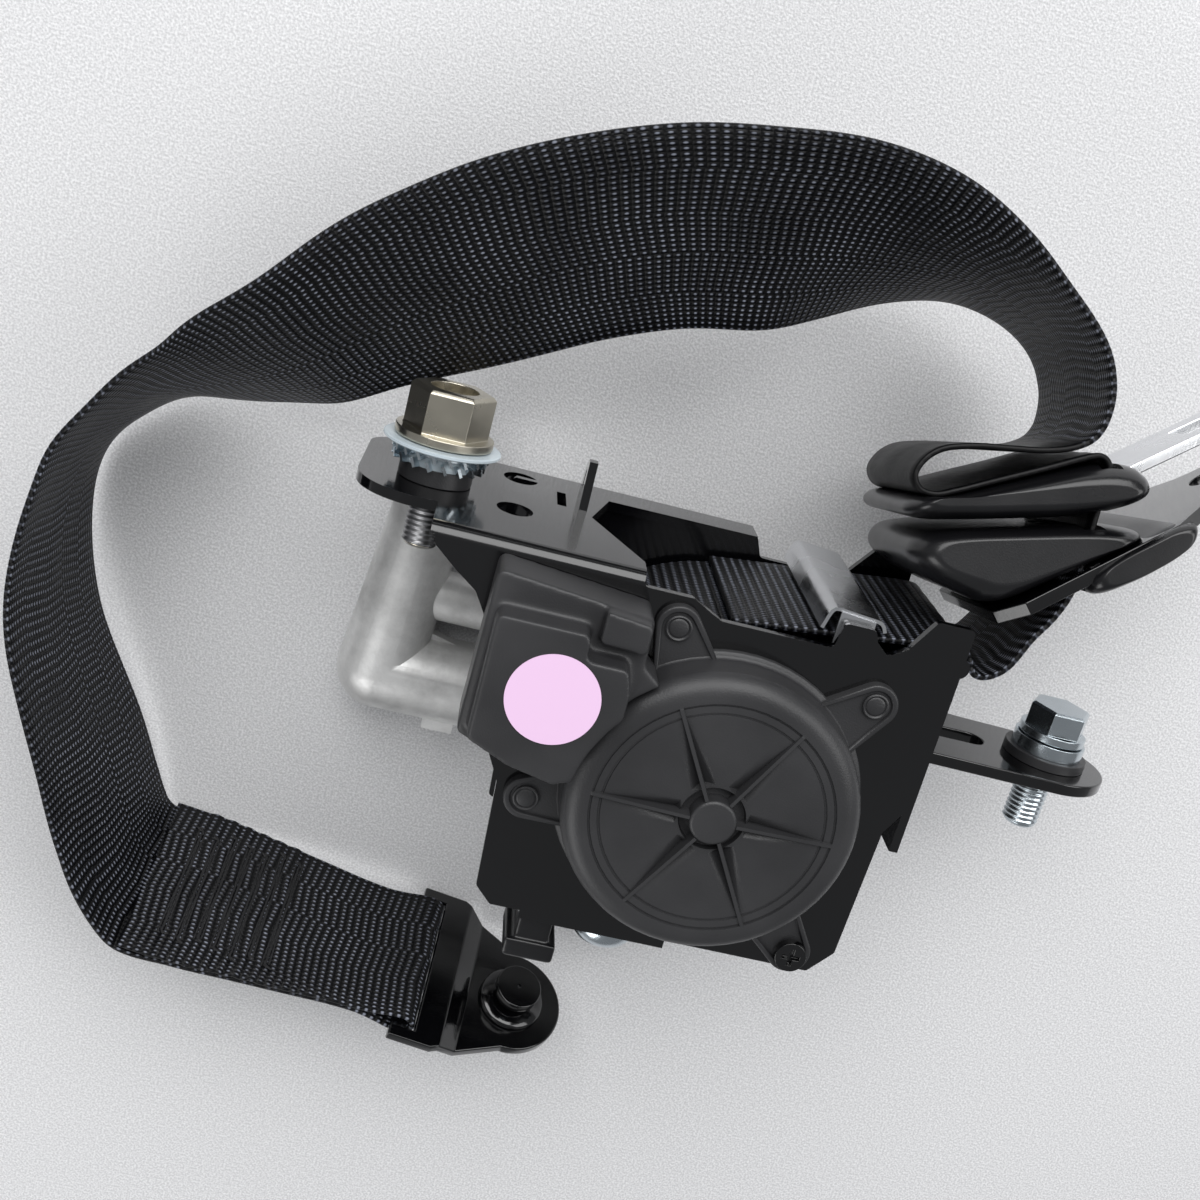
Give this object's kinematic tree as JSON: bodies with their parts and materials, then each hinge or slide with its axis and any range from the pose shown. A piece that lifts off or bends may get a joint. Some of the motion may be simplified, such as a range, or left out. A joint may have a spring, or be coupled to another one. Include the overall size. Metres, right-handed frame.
{
  "type": "seat belt",
  "caption": "Retractor with tensioner, webbing threaded through a D-ring and a latch tongue, and a sewn floor anchor with its bolt",
  "frame": {"origin": "on the spool axis, in the flat back face of the retractor", "axes": "+Z along the spool axis towards the covers, +Y square to the upper mounting plate, +X towards the lower bolt arm"},
  "size_m": [0.2735, 0.2546, 0.0982],
  "materials": {
    "black_steel": "black cathodic paint on folded steel, satin",
    "black_plastic": "black moulded plastic, fine grain",
    "gloss_moulding": "smooth black moulding with a soft shine",
    "white_plastic": "natural white moulded plastic",
    "clear_plastic": "clear pale blue retaining washer",
    "pale_label": "bare pale lilac disc",
    "steel": "plain machined steel",
    "bright_steel": "bright plated steel strip",
    "zinc_steel": "zinc plated bolt, dull",
    "die_cast": "die-cast aluminium, dull",
    "webbing": "black polyester webbing, close twill"
  },
  "bodies": {
    "retractor_body": {"frame": "black_steel", "lower_arm": "black_steel", "rear_bush": "black_plastic", "front_bush": "black_plastic", "pawl_pin": "steel", "spring_plate": "white_plastic", "return_spring": "steel", "spring_cover": "black_plastic", "cover_rivets": "black_plastic", "cover_screw": "black_steel", "sensor_cover": "black_plastic", "label_disc": "pale_label", "sensor_cup": "white_plastic", "sensor_pin": "steel", "sensor_ball": "steel", "tensioner_body": "die_cast", "gear_lid": "die_cast", "tube_plug": "steel", "gas_generator": "steel", "bolt_bush": "black_plastic", "bolt_retainer": "clear_plastic", "arm_washer": "black_plastic", "arm_spacer": "steel", "web_guard": "bright_steel", "dome_stud": "zinc_steel", "lower_clip": "black_plastic", "webbing": "webbing"},
    "spool_body": {"spool": "die_cast", "torsion_bar": "steel", "webbing_roll": "webbing", "ratchet": "steel", "spring_arbor": "black_plastic"},
    "pawl_body": {"lock_pawl": "steel"},
    "lever_body": {"sensor_lever": "white_plastic"},
    "rack_body": {"rack_piston": "steel"},
    "pinion_body": {"pinion": "steel"},
    "upper_bolt_body": {"upper_bolt": "zinc_steel"},
    "lower_bolt_body": {"lower_bolt": "zinc_steel"},
    "ring_body": {"ring_plate": "black_steel", "ring_cover": "gloss_moulding"},
    "tongue_body": {"tongue_grip": "gloss_moulding", "tongue_blade": "bright_steel"},
    "anchor_body": {"anchor_plate": "black_steel"},
    "anchor_bolt_body": {"anchor_bolt": "black_steel", "bolt_clip": "black_plastic"}
  },
  "joints": [
    {"name": "spool_spin", "type": "hinge", "parent": "retractor_body", "child": "spool_body", "pos_m": [0, 0, 0.05], "axis": [0, 0, 1], "continuous": true},
    {"name": "pawl_swing", "type": "hinge", "parent": "retractor_body", "child": "pawl_body", "pos_m": [-0.02122, 0.01225, 0.08], "axis": [0, 0, 1], "range_deg": [-5.5, 0]},
    {"name": "lever_lift", "type": "hinge", "parent": "retractor_body", "child": "lever_body", "pos_m": [-0.0515, 0.022, 0.0903], "axis": [0, -1, 0], "range_deg": [0, 8]},
    {"name": "rack_slide", "type": "slide", "parent": "retractor_body", "child": "rack_body", "axis": [1, 0, 0], "range_m": [0, 0.032]},
    {"name": "pinion_spin", "type": "hinge", "parent": "retractor_body", "child": "pinion_body", "pos_m": [0, 0, 0.011], "axis": [0, 0, 1], "range_deg": [0, 180]},
    {"name": "upper_bolt_turn", "type": "hinge", "parent": "retractor_body", "child": "upper_bolt_body", "pos_m": [-0.074, 0.05, 0.044], "axis": [0, 1, 0], "continuous": true},
    {"name": "lower_bolt_turn", "type": "hinge", "parent": "retractor_body", "child": "lower_bolt_body", "pos_m": [0.086, 0.01, 0.044], "axis": [0, 1, 0], "continuous": true},
    {"name": "ring_slide", "type": "slide", "parent": "retractor_body", "child": "ring_body", "axis": [0.0037, 0.9797, -0.2005], "range_m": [-0.001, 0]},
    {"name": "tongue_slide", "type": "slide", "parent": "retractor_body", "child": "tongue_body", "axis": [0.0037, 0.9797, -0.2005], "range_m": [-0.0012, 0]},
    {"name": "anchor_swing", "type": "hinge", "parent": "retractor_body", "child": "anchor_body", "pos_m": [-0.05, -0.092, 0.0222], "axis": [-0.0588, -0.4185, 0.9063], "range_deg": [-20, 20]},
    {"name": "anchor_bolt_turn", "type": "hinge", "parent": "anchor_body", "child": "anchor_bolt_body", "pos_m": [-0.02128, -0.09604, 0.0222], "axis": [0.1261, 0.8975, 0.4226], "continuous": true}
  ],
  "couplings": [
    {"joint": "pinion_spin", "follows": "rack_slide", "rad_per_m": 95.238}
  ]
}
